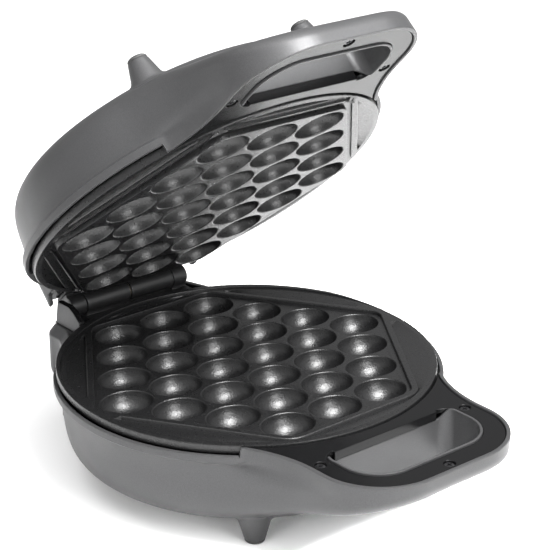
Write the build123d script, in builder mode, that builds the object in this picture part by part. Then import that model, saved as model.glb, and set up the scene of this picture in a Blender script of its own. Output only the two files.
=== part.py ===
from build123d import *
import os
from math import cos, pi, radians, sin

# Bubble waffle maker, standing open as it does on a worktop.
# Two like halves, a base and a lid, meet at a barrel hinge along their rear edge. Each half is a
# satin shell with four conical legs and a loop handle. It carries a round cast plate with thirty
# egg cups, a tubular heater in a heat pan, and a black cover on the handle.
#
# Millimetres, +X to the right, +Y to the hinge, +Z up. The origin is on the worktop, under the
# middle of the open appliance. Each half is drawn in its own frame: x and y are measured from
# the middle of the cup pattern, and z, called depth here, runs from the cup web into the shell.

# Cast plate
plate_radius = 100.5
plate_centre_y = -2.5
plate_edge = 4.3
plate_bevel = 0.8
plate_border = 3.2
plate_body_step = 6.5
plate_body_radius = plate_radius - plate_body_step
plate_back = 12.5
plate_front_y = plate_centre_y - plate_radius
base_rim_level = -1.9
lid_rim_level = 2.8

# Where the two halves stand
web_height = 58.5
web_gap = 3.1
plate_shift_y = 17.6
hinge_back = 13.0
hinge_y = plate_centre_y + plate_radius + hinge_back
hinge_lift = 5.9
open_angle = 43.67

# Cup pattern, and the six-sided field around it
cup_pitch = 31.0
row_pitch = 24.2
row_counts = (3, 4, 5, 6, 5, 4, 3)
cup_length = 28.6
cup_width = 24.6
cup_sides = 12
cup_rings = ((4.6, 15.0), (3.8, 44.0), (2.1, 63.0))
field_corner_margin = 3.5
field_side_margin = 13.5
field_corner_x = plate_radius - field_corner_margin
field_side_x = 40.4
field_side_y = plate_radius - field_side_margin
field_corner_radius = 9.0
field_rib = 3.6
field_open_half = 9.0
pocket_drop = 1.6
pocket_end_half = 15.0
lid_trench = 3.6
lid_rib = 2.2
lid_rib_height = 1.2

# Raised guard of the base plate, beside the hinge
guard_shift = 3.5
guard_top = -3.0
guard_floor = 1.2
guard_half = 46.3

# Shell
seat_margin = 0.9
lip_width = 3.5
lip_radius = plate_radius + lip_width
lip_height = 4.2
lip_step = 2.0
shell_depth = 46.7
wall_flats = (
    (3.9, 17.0),
    (4.8, 28.0),
    (6.3, 35.0),
    (8.9, 40.0),
    (12.6, 43.5),
    (17.0, 45.8),
    (22.0, shell_depth),
)
inner_flats = 4
wall = 2.2

# Handle loop and its finger slot
handle_reach = 59.6
handle_front_y = plate_front_y - handle_reach
handle_half_width = 55.5
handle_corner = 36.0
handle_straight_reach = 19.0
handle_straight_y = plate_front_y - handle_straight_reach
handle_waist_x = 61.2
handle_waist_back = 10.5
handle_waist_y = plate_front_y + handle_waist_back
handle_root_x = 71.5
handle_root_back = 28.0
handle_root_y = plate_front_y + handle_root_back
handle_front_depth = 8.5
handle_slope = 0.356
slot_half_width = 40.6
slot_bridge = 8.4
slot_length = 35.0
slot_rear_y = plate_front_y - slot_bridge
slot_front_y = slot_rear_y - slot_length
slot_front_corner = 19.5
slot_rear_corner = 6.6
slot_lip_drop = 5.0
slot_rim = 1.4
cover_margin = 2.3
cover_sink = 0.9
cover_fit = 0.2
cover_thickness = 2.5

# Screws, drawn with few sides
screw_radius = 1.6
screw_head_radius = 2.9
screw_head_height = 1.5
screw_length = 7.0
screw_fit = 0.2
screw_sides = 8
head_sides = 12
bore_sides = 16
boss_wall = 1.8
boss_floor = 2.0
screw_sink = 0.4
cover_screw_side_x = 48.0
cover_screw_side_reach = 14.0
cover_screw_side_y = plate_front_y - cover_screw_side_reach
cover_screw_front_reach = 52.0
cover_screw_front_y = plate_front_y - cover_screw_front_reach

# Legs
leg_side_inset = 52.0
leg_end_inset = 35.0
leg_x = lip_radius - leg_side_inset
leg_front_y = plate_centre_y - lip_radius + leg_end_inset
leg_rear_y = plate_centre_y + lip_radius - leg_end_inset
leg_root_depth = 36.0
leg_root_radius = 11.2
leg_tip_depth = 56.5
leg_tip_radius = 5.6
leg_bore = 3.4
leg_seat_depth = 46.0
leg_screw_length = 22.0
pad_radius = 5.3
pad_height = 2.0
pad_edge = 0.8
pad_stem = 5.0
post_radius = 4.0
post_depth = 30.0

# Hinge
barrel_radius = 6.0
barrel_bore = 4.3
barrel_start = 0.5
barrel_end = 30.0
knuckle_start = 30.4
knuckle_end = 40.0
pin_radius = 2.5
pin_fit = 0.05
pin_seat = 6.0
pin_end_gap = 0.2
bracket_drop = 6.5
bracket_plate = 1.8
bracket_front = 12.4
bracket_rear = 5.5
bracket_half = 41.0
bracket_web = 8.0
bracket_screw_back = 9.1
bracket_screws_x = (-35.0, -13.0, 13.0, 35.0)
lead_hole = 3.2
lead_hole_x = 12.0
lead_radius = 3.9
lead_half_length = 17.0

# Rear block of the base with its cheeks, and rear hood of the lid
rear_half = 52.0
rear_corner = 10.0
rear_root_reach = 41.0
rear_root_y = hinge_y - rear_root_reach
rear_root_x = 64.0
rear_root_depth = 40.0
base_rear_back = 9.4
base_rear_y = hinge_y + base_rear_back
flare_root_x = 70.0
flare_root_reach = 36.6
flare_root_y = hinge_y - flare_root_reach
flare_waist_x = 59.5
flare_waist_reach = 22.4
flare_waist_y = hinge_y - flare_waist_reach
flare_end_reach = 8.0
flare_end_y = hinge_y - flare_end_reach
deck_bevel_depth = 8.0
deck_bevel_taper = 38.0
rear_face_end = 24.5
rear_keel_y = hinge_y
rear_keel_depth = 32.0
cheek_inner = 42.0
cheek_outer = 46.0
tall_cheek = ((-20.5, 2.4), (-20.5, -4.5), (-14.5, -9.0), (-10.0, -11.0), (1.5, -11.0), (4.0, 2.4))
low_cheek = ((-20.5, 2.4), (-20.5, -2.6), (1.5, 0.6), (4.0, 2.4))
hood_rear_back = 5.0
hood_rear_y = hinge_y + hood_rear_back
hood_wall_depth = 22.0
hood_top_reach = 7.0
hood_top_y = hinge_y - hood_top_reach
hood_top_depth = 33.0
hood_root_depth = 37.0
hood_side = 3.0
fin_front_reach = 6.5
fin_front_y = hinge_y - fin_front_reach
fin_tip_depth = 5.9
fin_tip_reach = 3.5
fin_tip_front_y = hinge_y - fin_tip_reach
fin_tip_rear_y = hinge_y
bracket_pocket_fit = 0.6

# Heater, heat pan, controls, cord gland and lamp lenses
heater_inset = 34.0
heater_ring = plate_body_radius - heater_inset
heater_half_height = 3.2
heater_sides = 6
heater_gap_angle = 22.0
heater_tail = 21.0
heater_rest = 0.1
pan_inset = 19.0
pan_radius = plate_body_radius - pan_inset
pan_depth = 24.0
pan_sheet = 0.8
pan_screw_ring = 40.0
tail_hole = 4.5
thermostat_radius = 8.0
thermostat_height = 7.0
thermostat_ear = 26.0
thermostat_ear_width = 7.0
thermostat_sheet = 0.8
fuse_radius = 2.2
fuse_length = 12.0
fuse_x = 27.0
block_length = 34.0
block_width = 14.0
block_height = 9.0
block_y = 52.0
block_ways = 3
block_slot = 5.0
gland_radius = 5.0
gland_bore = 3.4
gland_flange_radius = 7.5
gland_flange = 2.0
gland_depth = 16.2
gland_inside = 5.0
lens_radius = 3.0
lens_flange_radius = 3.8
lens_flange = 0.8
lens_spacing = 16.0
lens_y = -60.0
panel_fit = 0.1
overcut = 1.0

# Derived sizes
seat_radius = plate_radius + seat_margin
seat_inner_radius = plate_body_radius + wall
screw_hole = screw_radius + screw_fit
head_hole = screw_head_radius + screw_fit
boss_radius = screw_radius + boss_wall
leg_places = [(sx * leg_x, y) for sx in (-1, 1) for y in (leg_front_y, leg_rear_y)]
cover_screws = [
    (-cover_screw_side_x, cover_screw_side_y),
    (cover_screw_side_x, cover_screw_side_y),
    (0, cover_screw_front_y),
]
bracket_screw_y = hinge_y - bracket_screw_back
bracket_screws = [(x, bracket_screw_y) for x in bracket_screws_x]
far = 3 * lip_radius


def open_web():
    """Frame of the lid's cup web, swung open about the hinge."""
    swing = radians(open_angle)
    reach = -hinge_y
    rise = web_gap - hinge_lift
    y = plate_shift_y + hinge_y + reach * cos(swing) + rise * sin(swing)
    z = web_height + hinge_lift - reach * sin(swing) + rise * cos(swing)
    return Plane(origin=(0, y, z), x_dir=(1, 0, 0), z_dir=(0, sin(swing), cos(swing)))


base_web = Plane(origin=(0, plate_shift_y, web_height), x_dir=(-1, 0, 0), z_dir=(0, 0, -1))
lid_web = open_web()


class Half:
    """One half of the appliance: its frame, and the depths that differ between the two."""

    def __init__(self, name, web, rim, hinge_depth, field_raised):
        self.name = name
        self.web = web
        self.rim = rim
        self.field_raised = field_raised
        self.lip = rim + plate_edge
        self.cover = rim + cover_sink
        self.hinge_depth = hinge_depth
        self.seat = hinge_depth + bracket_drop + bracket_plate

    def level(self, depth, x=0.0, y=0.0):
        """Plane at a depth, with its origin at x and y and its normal outwards."""
        origin = self.web.from_local_coords(Vector(x, y, depth))
        return Plane(origin=origin, x_dir=self.web.x_dir, z_dir=self.web.z_dir)

    def side(self, x, y=0.0, depth=0.0):
        """Upright plane across x: its own x runs to the hinge, its own y runs outwards."""
        origin = self.web.from_local_coords(Vector(x, y, depth))
        return Plane(origin=origin, x_dir=self.web.y_dir, z_dir=self.web.x_dir)

    def radial(self, angle=0.0):
        """Upright plane through the plate's centre: its own x is radius, its own y is depth."""
        origin = self.web.from_local_coords(Vector(0, plate_centre_y, 0))
        out = self.web.x_dir * cos(radians(angle)) + self.web.y_dir * sin(radians(angle))
        return Plane(origin=origin, x_dir=out, z_dir=out.cross(self.web.z_dir))

    def axis(self):
        """Axis through the plate's centre."""
        origin = self.web.from_local_coords(Vector(0, plate_centre_y, 0))
        return Axis(origin, self.web.z_dir)


base = Half("base", base_web, base_rim_level, -hinge_lift, False)
lid = Half("lid", lid_web, lid_rim_level, hinge_lift - web_gap, True)


def finish(builder, name):
    """Label a finished piece and write it."""
    builder.part.label = name
    export_step(builder.part, f"parts/{name}.step")


# Plan outlines

def field_face(grow=0.0):
    """Six-sided field around the cups, with rounded corners."""
    with BuildSketch() as field:
        with BuildLine():
            FilletPolyline(
                (field_corner_x, 0),
                (field_side_x, field_side_y),
                (-field_side_x, field_side_y),
                (-field_corner_x, 0),
                (-field_side_x, -field_side_y),
                (field_side_x, -field_side_y),
                radius=field_corner_radius,
                close=True,
            )
        make_face()
        if grow:
            offset(amount=grow)
    return field.sketch


def handle_face(inset=0.0):
    """Plan of the handle loop, from inside the round shell to its front edge."""
    with BuildSketch() as loop:
        with BuildLine():
            flank = ThreePointArc(
                (handle_root_x, handle_root_y),
                (handle_waist_x, handle_waist_y),
                (handle_half_width, handle_straight_y),
            )
            straight = Line(flank @ 1, (handle_half_width, handle_front_y + handle_corner))
            corner = TangentArc(
                straight @ 1,
                (handle_half_width - handle_corner, handle_front_y),
                tangent=(0, -1),
            )
            Line(corner @ 1, (0, handle_front_y))
            Polyline((0, 0), (handle_root_x, 0), (handle_root_x, handle_root_y))
            mirror(about=Plane.YZ)
        make_face()
        if inset:
            offset(amount=-inset)
    return loop.sketch


def slot_face(grow=0.0):
    """Plan of the finger slot: large corners at the front, small ones at the rear."""
    with BuildSketch() as slot:
        with Locations((0, (slot_rear_y + slot_front_y) / 2)):
            Rectangle(2 * slot_half_width, slot_rear_y - slot_front_y)
        fillet(slot.vertices().sort_by(Axis.Y)[:2], slot_front_corner)
        fillet(slot.vertices().sort_by(Axis.Y)[-2:], slot_rear_corner)
        if grow:
            offset(amount=grow)
    return slot.sketch


def rear_face(rear_y, inset=0.0):
    """Plan of the block behind the round shell, with rounded rear corners."""
    with BuildSketch() as plan:
        with Locations((0, (rear_root_y + rear_y - inset) / 2)):
            Rectangle(2 * (rear_half - inset), rear_y - inset - rear_root_y)
        fillet(plan.vertices().sort_by(Axis.Y)[-2:], rear_corner - inset)
    return plan.sketch


def flare_face(inset=0.0):
    """Plan of the two flanks of the base's rear block, which flare to meet the round shell."""
    with BuildSketch() as plan:
        with BuildLine():
            flank = ThreePointArc(
                (flare_root_x - inset, flare_root_y),
                (flare_waist_x - inset, flare_waist_y),
                (rear_half - inset, flare_end_y),
            )
            Line(flank @ 1, (0, flare_end_y))
            Polyline((0, rear_root_y), (rear_root_x - inset, rear_root_y), flank @ 0)
            mirror(about=Plane.YZ)
        make_face()
    return plan.sketch


# Solids that the shells are made from

def handle_block(half, inset=0.0):
    """Handle loop without its slot, drawn in by inset at the sides and underneath."""
    floor = half.rim + handle_front_depth - base_rim_level - inset
    front = handle_front_y - handle_corner
    with BuildPart() as block:
        with BuildSketch(half.level(half.rim)):
            add(handle_face(inset))
        extrude(amount=shell_depth - inset - half.rim)
        with BuildSketch(half.side(-far)):
            with BuildLine():
                Polyline(
                    (front, floor - handle_corner * handle_slope),
                    (0, floor - handle_front_y * handle_slope),
                    (0, far),
                    (front, far),
                    close=True,
                )
            make_face()
        extrude(amount=2 * far, mode=Mode.SUBTRACT)
    return block.part


def pot(half):
    """Round body of a shell, with its lip."""
    lip_end = half.lip + lip_height
    flats = [(lip_radius - inset, depth) for inset, depth in wall_flats]
    with BuildPart() as body:
        with BuildSketch(half.radial()):
            Polygon(
                (0, half.lip),
                (lip_radius, half.lip),
                (lip_radius, lip_end),
                (lip_radius - lip_step, lip_end + lip_step / 2),
                *flats,
                (0, shell_depth),
                align=None,
            )
        revolve(axis=half.axis())
    return body.part


def pot_space(half):
    """Space inside the round body."""
    flats = [(lip_radius - inset - wall, depth) for inset, depth in wall_flats[1:inner_flats]]
    floor_inset = wall_flats[-1][0]
    with BuildPart() as space:
        with BuildSketch(half.radial()):
            Polygon(
                (0, half.rim),
                (seat_inner_radius, half.rim),
                *flats,
                (lip_radius - floor_inset + wall, shell_depth - wall),
                (0, shell_depth - wall),
                align=None,
            )
        revolve(axis=half.axis())
    return space.part


def rear_block(half, profile, rear_y, inset=0.0):
    """Block behind the round shell, cut to a profile seen from the side."""
    with BuildPart() as block:
        with BuildSketch(half.level(-far)):
            add(rear_face(rear_y, inset))
        extrude(amount=2 * far)
        with BuildSketch(half.side(-far)):
            Polygon(*profile, align=None)
            if inset:
                offset(amount=-inset, kind=Kind.INTERSECTION)
        extrude(amount=2 * far, mode=Mode.INTERSECT)
    return block.part


def base_block(inset=0.0):
    """Rear block of the base: a deck that slopes at its edges, a flat rear face and a keel."""
    with BuildPart() as block:
        for way in (1, -1):
            with BuildSketch(base.level(deck_bevel_depth)):
                add(rear_face(base_rear_y, inset))
                add(flare_face(inset))
            if way > 0:
                extrude(amount=shell_depth)
            else:
                extrude(amount=base.lip + inset - deck_bevel_depth, taper=deck_bevel_taper)
        with BuildSketch(base.side(-far)):
            Polygon(
                (rear_root_y, base.lip),
                (base_rear_y, base.lip),
                (base_rear_y, rear_face_end),
                (rear_keel_y, rear_keel_depth),
                (rear_root_y, rear_root_depth),
                align=None,
            )
            if inset:
                offset(amount=-inset, kind=Kind.INTERSECTION)
        extrude(amount=2 * far, mode=Mode.INTERSECT)
    return block.part


def hood_profile():
    """Side view of the lid's rear hood."""
    return (
        (rear_root_y, lid.seat),
        (hood_rear_y, lid.seat),
        (hood_rear_y, hood_wall_depth),
        (hood_top_y, hood_top_depth),
        (rear_root_y, hood_root_depth),
    )


def fins():
    """Side tabs of the hood that reach down outside the cheeks of the base."""
    with BuildPart() as tabs:
        with BuildSketch(lid.level(fin_tip_depth)):
            add(rear_face(hood_rear_y))
            with Locations((0, rear_root_y)):
                Rectangle(2 * (rear_half - hood_side), far, mode=Mode.SUBTRACT)
        extrude(amount=lid.seat - fin_tip_depth)
        with BuildSketch(lid.side(-far)):
            Polygon(
                (fin_front_y, lid.seat),
                (fin_tip_front_y, fin_tip_depth),
                (fin_tip_rear_y, fin_tip_depth),
                (hood_rear_y, lid.seat),
                align=None,
            )
        extrude(amount=2 * far, mode=Mode.INTERSECT)
    return tabs.part


def cheeks():
    """Walls of the base beside the hinge: a tall hump on the left and a low ridge on the right."""
    with BuildPart() as humps:
        for start, outline in ((cheek_inner, tall_cheek), (-cheek_outer, low_cheek)):
            with BuildSketch(base.side(start)):
                Polygon(*[(hinge_y + y, depth) for y, depth in outline], align=None)
            extrude(amount=cheek_outer - cheek_inner)
    return humps.part


def leg_cones(half):
    """Four conical legs, from inside the shell to where their pads start."""
    with BuildPart() as legs:
        for x, y in leg_places:
            with BuildSketch(half.level(leg_root_depth, x, y)):
                Circle(leg_root_radius)
            with BuildSketch(half.level(leg_tip_depth, x, y)):
                Circle(leg_tip_radius)
            loft()
    return legs.part


def slot_sleeve(half, body):
    """Wall around the finger slot, as deep as the handle is."""
    with BuildPart() as sleeve:
        with BuildSketch(half.level(half.rim)):
            add(slot_face(wall))
        extrude(amount=shell_depth)
        add(body, mode=Mode.INTERSECT)
    return sleeve.part


def rods(half, places, top, bottom, radius, sides=screw_sides):
    """Upright rods between two depths, round enough with few sides."""
    with BuildPart() as rod:
        with BuildSketch(half.level(top)):
            with Locations(*places):
                RegularPolygon(radius, sides)
        extrude(amount=bottom - top)
    return rod.part


def bosses(half, body, places, top, bottom, radius):
    """Screw bosses between two depths, kept inside the body."""
    with BuildPart() as posts:
        add(rods(half, places, top, bottom, radius))
        add(body, mode=Mode.INTERSECT)
    return posts.part


def rear_lip(half, fit=0.0):
    """Strip at the rear of the slot, where the black cover turns down."""
    reach = slot_half_width - slot_rear_corner + fit
    with BuildPart() as strip:
        with BuildSketch(half.level(half.cover)):
            with Locations((0, slot_rear_y + wall / 2)):
                Rectangle(2 * reach, wall + 2 * fit)
        extrude(amount=slot_lip_drop + fit)
    return strip.part


def cover_sheet(half, start, end, fit=0.0):
    """Sheet between the plate, the handle's edge and the slot, between two depths."""
    with BuildPart() as sheet:
        with BuildSketch(half.level(start)):
            add(handle_face(cover_margin + fit))
            add(slot_face(slot_rim + fit), mode=Mode.SUBTRACT)
            with Locations((0, plate_centre_y)):
                Circle(seat_radius, mode=Mode.SUBTRACT)
        extrude(amount=end - start)
    return sheet.part


# Shells

def make_shell(half, rear_outer, rear_space, extra, cutter):
    """Satin shell of one half with its handle loop, rear block and legs."""
    body_pot = pot(half)
    body_handle = handle_block(half)
    space = pot_space(half)
    handle_space = handle_block(half, wall)
    legs = leg_cones(half)
    with BuildPart() as outer:
        add(body_pot)
        add(body_handle)
        add(rear_outer)
    sleeve = slot_sleeve(half, outer.part)
    cover_end = half.cover + cover_thickness
    bracket_end = half.seat + screw_length
    cover_bosses = bosses(half, outer.part, cover_screws, cover_end, shell_depth, boss_radius)
    bracket_bosses = bosses(
        half, outer.part, bracket_screws, half.seat, bracket_end + boss_floor, boss_radius
    )
    leg_bosses = bosses(half, outer.part, leg_places, post_depth, leg_seat_depth, post_radius)
    cover_seat = cover_sheet(half, half.rim, cover_end)
    strip = rear_lip(half, cover_fit)
    with BuildPart() as inner_handle:
        add(handle_space)
        with BuildSketch(half.level(half.rim, 0, plate_centre_y)):
            Circle(seat_radius)
        extrude(amount=shell_depth, mode=Mode.SUBTRACT)
    with BuildPart() as shell:
        add(outer.part)
        add(legs)
        add(extra)
        add(space, mode=Mode.SUBTRACT)
        add(inner_handle.part, mode=Mode.SUBTRACT)
        add(rear_space, mode=Mode.SUBTRACT)
        add(sleeve)
        add(cover_bosses)
        add(bracket_bosses)
        add(leg_bosses)
        with BuildSketch(half.level(half.rim, 0, plate_centre_y)):
            Circle(seat_radius)
        extrude(amount=half.lip - half.rim, mode=Mode.SUBTRACT)
        add(cover_seat, mode=Mode.SUBTRACT)
        add(strip, mode=Mode.SUBTRACT)
        with BuildSketch(half.level(half.rim - wall)):
            add(slot_face())
        extrude(amount=shell_depth, mode=Mode.SUBTRACT)
        with BuildSketch(half.level(half.hinge_depth)):
            with Locations((0, hinge_y - bracket_front - bracket_pocket_fit)):
                pocket_half = bracket_half + bracket_pocket_fit
                Rectangle(2 * pocket_half, far, align=(Align.CENTER, Align.MIN))
        extrude(amount=half.seat - half.hinge_depth, mode=Mode.SUBTRACT)
        holes = [
            rods(half, cover_screws, half.cover, cover_end + screw_length, screw_radius),
            rods(half, bracket_screws, half.seat, bracket_end, screw_radius),
            rods(half, [(lead_hole_x, hinge_y)], half.seat, bracket_end, lead_hole, bore_sides),
            rods(half, leg_places, post_depth, leg_tip_depth, screw_hole),
            rods(half, leg_places, leg_seat_depth, leg_tip_depth, leg_bore, bore_sides),
        ]
        add(holes, mode=Mode.SUBTRACT)
        add(cutter, mode=Mode.SUBTRACT)
    finish(shell, f"{half.name}_shell")
    return shell.part


# Cast plates

def cup_tool():
    """Solid that leaves one egg cup: an oval drawn with flats, in three rings that close in."""
    corners = []
    for corner in range(cup_sides):
        angle = 2 * pi * (corner + 0.5) / cup_sides
        corners.append((cup_length / 2 * cos(angle), cup_width / 2 * sin(angle)))
    with BuildPart() as cup:
        with BuildSketch():
            Polygon(*corners, align=None)
        extrude(amount=-overcut)
        for height, taper in cup_rings:
            extrude(cup.faces().sort_by(Axis.Z)[-1], amount=height, taper=taper)
    return cup.part


def cup_places():
    """Centres of the cups, row by row."""
    places = []
    middle = (len(row_counts) - 1) / 2
    for row, count in enumerate(row_counts):
        for cup in range(count):
            places.append(((cup - (count - 1) / 2) * cup_pitch, (row - middle) * row_pitch))
    return places


def plate_pockets(half, gap, depth):
    """Crescent pockets between the six-sided field and the plate's round border."""
    with BuildPart() as pockets:
        with BuildSketch(half.level(half.rim)):
            with Locations((0, plate_centre_y)):
                Circle(plate_radius - plate_border)
            add(field_face(gap), mode=Mode.SUBTRACT)
            Rectangle(far, 2 * pocket_end_half, mode=Mode.SUBTRACT)
        extrude(amount=depth)
    return pockets.part


def field_ring(half, start, width, height):
    """Rib around the field, kept on the plate and open at the field's left and right corners."""
    with BuildPart() as ring:
        with BuildSketch(half.level(half.rim - height)):
            add(field_face(start + width))
            add(field_face(start), mode=Mode.SUBTRACT)
            Rectangle(far, 2 * field_open_half, mode=Mode.SUBTRACT)
            with Locations((0, plate_centre_y)):
                Circle(plate_radius - plate_border, mode=Mode.INTERSECT)
        extrude(amount=height)
    return ring.part


def rear_guard():
    """Raised rim of the base plate on both sides of the hinge, which grows towards the rear."""
    with BuildPart() as guard:
        with BuildSketch(base.level(guard_floor)):
            with Locations((0, plate_centre_y + guard_shift)):
                Circle(plate_radius)
            with Locations((0, plate_centre_y)):
                Circle(plate_radius - plate_bevel, mode=Mode.SUBTRACT)
            Rectangle(2 * guard_half, far, mode=Mode.SUBTRACT)
            with Locations((0, -far / 2)):
                Rectangle(far, far, mode=Mode.SUBTRACT)
        extrude(amount=guard_top - guard_floor)
    return guard.part


def make_plate(half):
    """Cast plate: sunk field of cups on the base, raised field on the lid."""
    cup = cup_tool()
    with BuildPart() as plate:
        with BuildSketch(half.level(half.rim, 0, plate_centre_y)):
            Circle(plate_radius)
        extrude(amount=plate_edge)
        chamfer(plate.edges().group_by(Axis(half.web.origin, half.web.z_dir))[0], plate_bevel)
        with BuildSketch(half.level(half.lip, 0, plate_centre_y)):
            Circle(plate_body_radius)
        extrude(amount=plate_back - half.lip)
        if half.field_raised:
            with BuildSketch(half.level(0)):
                add(field_face())
            extrude(amount=half.rim)
            add(plate_pockets(half, lid_trench + 2 * lid_rib, pocket_drop), mode=Mode.SUBTRACT)
            add(field_ring(half, lid_trench, lid_rib, lid_rib_height))
        else:
            with BuildSketch(half.level(half.rim)):
                add(field_face())
            extrude(amount=-half.rim, mode=Mode.SUBTRACT)
            add(plate_pockets(half, field_rib, pocket_drop), mode=Mode.SUBTRACT)
            add(rear_guard())
        add(rods(half, leg_places, plate_back, post_depth, post_radius))
        add(rods(half, pan_screw_places(), plate_back, pan_depth, boss_radius))
        cups = [half.level(0, x, y).location * cup for x, y in cup_places()]
        add(cups, mode=Mode.SUBTRACT)
        holes = [
            rods(half, leg_places, post_depth - screw_length, post_depth, screw_radius),
            rods(half, pan_screw_places(), pan_depth - screw_length, pan_depth, screw_radius),
        ]
        add(holes, mode=Mode.SUBTRACT)
    finish(plate, f"{half.name}_plate")
    return plate.part


def pan_screw_places():
    """Three screws that hold the heat pan, inside the heater ring."""
    angles = [radians(90 + 120 * number) for number in range(3)]
    return [
        (pan_screw_ring * cos(angle), plate_centre_y + pan_screw_ring * sin(angle)) for angle in angles
    ]


# Covers, pads and fasteners

def make_cover(half):
    """Black cover of the handle, butted against the plate and turned down into the slot."""
    end = half.cover + cover_thickness
    with BuildPart() as cover:
        add(cover_sheet(half, half.cover, end, cover_fit))
        add(rear_lip(half))
        add(rods(half, cover_screws, half.cover, end, screw_hole), mode=Mode.SUBTRACT)
        sunk = half.cover + screw_sink + screw_head_height
        add(rods(half, cover_screws, half.cover, sunk, head_hole, head_sides), mode=Mode.SUBTRACT)
    finish(cover, f"{half.name}_handle_cover")
    return cover.part


def make_screws(half, name, places, head_depth, head_way, length):
    """Set of like screws. The head stands at head_depth and the shank runs along head_way."""
    with BuildPart() as screws:
        for x, y in places:
            with BuildSketch(half.level(head_depth, x, y)):
                RegularPolygon(screw_head_radius, head_sides)
            extrude(amount=head_way * screw_head_height)
            with BuildSketch(half.level(head_depth + head_way * screw_head_height, x, y)):
                RegularPolygon(screw_radius, screw_sides)
            extrude(amount=head_way * length)
    finish(screws, f"{half.name}_{name}")
    return screws.part


def make_pads(half):
    """Rubber pads on the tips of the legs, each with a stem in the leg's bore."""
    with BuildPart() as pads:
        with BuildSketch(half.level(leg_tip_depth)):
            with Locations(*leg_places):
                Circle(pad_radius)
        extrude(amount=pad_height)
        tips = pads.edges().group_by(Axis(half.web.origin, half.web.z_dir))[-1]
        chamfer(tips, pad_edge)
        add(rods(half, leg_places, leg_tip_depth - pad_stem, leg_tip_depth, leg_bore, bore_sides))
    finish(pads, f"{half.name}_rubber_feet")
    return pads.part


# Hinge

def make_bracket(half):
    """Hinge bracket: a plate with half of the lead barrel and one end knuckle. Both are alike."""
    centre = (hinge_y, half.hinge_depth)
    drop = bracket_drop + bracket_plate
    with BuildPart() as bracket:
        with BuildSketch(half.level(half.seat - bracket_plate)):
            with Locations((0, hinge_y + (bracket_rear - bracket_front) / 2)):
                Rectangle(2 * bracket_half, bracket_front + bracket_rear)
        extrude(amount=bracket_plate)
        for start, end in ((barrel_start, barrel_end), (-knuckle_end, -knuckle_start)):
            with BuildSketch(half.side(start)):
                with Locations(centre):
                    Circle(barrel_radius)
                with Locations((hinge_y, half.hinge_depth + drop / 2)):
                    Rectangle(bracket_web, drop)
            extrude(amount=end - start)
        with BuildSketch(half.side(0)):
            with Locations(centre):
                Circle(barrel_bore)
        extrude(amount=barrel_end - pin_seat, mode=Mode.SUBTRACT)
        with BuildSketch(half.side(0)):
            with Locations(centre):
                Circle(pin_radius + pin_fit)
        extrude(amount=barrel_end, mode=Mode.SUBTRACT)
        with BuildSketch(half.side(0)):
            with Locations(centre):
                Circle(pin_radius)
        extrude(amount=-knuckle_end, mode=Mode.SUBTRACT)
        holes = [
            rods(half, [(lead_hole_x, hinge_y)], half.hinge_depth, half.seat, lead_hole, bore_sides),
            rods(half, bracket_screws, half.seat - bracket_plate, half.seat, screw_hole),
        ]
        add(holes, mode=Mode.SUBTRACT)
    finish(bracket, f"{half.name}_hinge_bracket")
    return bracket.part


def make_pin(half, name):
    """Pin fixed in this half's knuckle that turns in the end of the other half's barrel."""
    start = barrel_end - pin_seat + pin_end_gap
    with BuildPart() as pin:
        with BuildSketch(half.side(-start, hinge_y, half.hinge_depth)):
            Circle(pin_radius)
        extrude(amount=start - knuckle_end)
    finish(pin, name)
    return pin.part


def make_lead():
    """Sleeved lead between the halves, where it runs straight through the barrels."""
    with BuildPart() as lead:
        with BuildSketch(base.side(-lead_half_length, hinge_y, base.hinge_depth)):
            Circle(lead_radius)
        extrude(amount=2 * lead_half_length)
    finish(lead, "hinge_lead")
    return lead.part


# Heaters and what is under the plates

def heater_ends():
    """Plan places of the heater's two ends, and the angle that it starts from."""
    places = []
    for angle in (90 - heater_gap_angle / 2, 90 + heater_gap_angle / 2):
        x = heater_ring * cos(radians(angle))
        y = plate_centre_y + heater_ring * sin(radians(angle))
        places.append((x, y))
    return places


def make_heater(half):
    """Tubular heater, nearly a full ring, with its two ends turned away from the plate."""
    face = plate_back + heater_rest
    with BuildPart() as heater:
        with BuildSketch(half.radial(90 + heater_gap_angle / 2)):
            with Locations((heater_ring, face + heater_half_height)):
                RegularPolygon(heater_half_height, heater_sides, major_radius=False)
        revolve(axis=half.axis(), revolution_arc=360 - heater_gap_angle)
        with BuildSketch(half.level(face)):
            with Locations(*heater_ends()):
                RegularPolygon(heater_half_height, heater_sides, major_radius=False)
        extrude(amount=heater_tail)
    finish(heater, f"{half.name}_heating_element")
    return heater.part


def make_pan(half):
    """Dished heat pan that closes the heater in against the plate."""
    floor = pan_depth + pan_sheet
    with BuildPart() as pan:
        with BuildSketch(half.radial()):
            Polygon(
                (0, pan_depth),
                (pan_radius - pan_sheet, pan_depth),
                (pan_radius - pan_sheet, plate_back),
                (pan_radius, plate_back),
                (pan_radius, floor),
                (0, floor),
                align=None,
            )
        revolve(axis=half.axis())
        holes = [
            rods(half, pan_screw_places(), pan_depth, floor, screw_hole),
            rods(half, heater_ends(), pan_depth, floor, tail_hole, bore_sides),
        ]
        add(holes, mode=Mode.SUBTRACT)
    finish(pan, f"{half.name}_heat_pan")
    return pan.part


def make_thermostat():
    """Disc thermostat with its fixing strap, against the back of the base plate."""
    with BuildPart() as thermostat:
        with BuildSketch(base.level(plate_back, 0, plate_centre_y)):
            Circle(thermostat_radius)
        extrude(amount=thermostat_height)
        with BuildSketch(base.level(plate_back, 0, plate_centre_y)):
            SlotOverall(thermostat_ear, thermostat_ear_width)
        extrude(amount=thermostat_sheet)
    finish(thermostat, "thermostat")
    return thermostat.part


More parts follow.
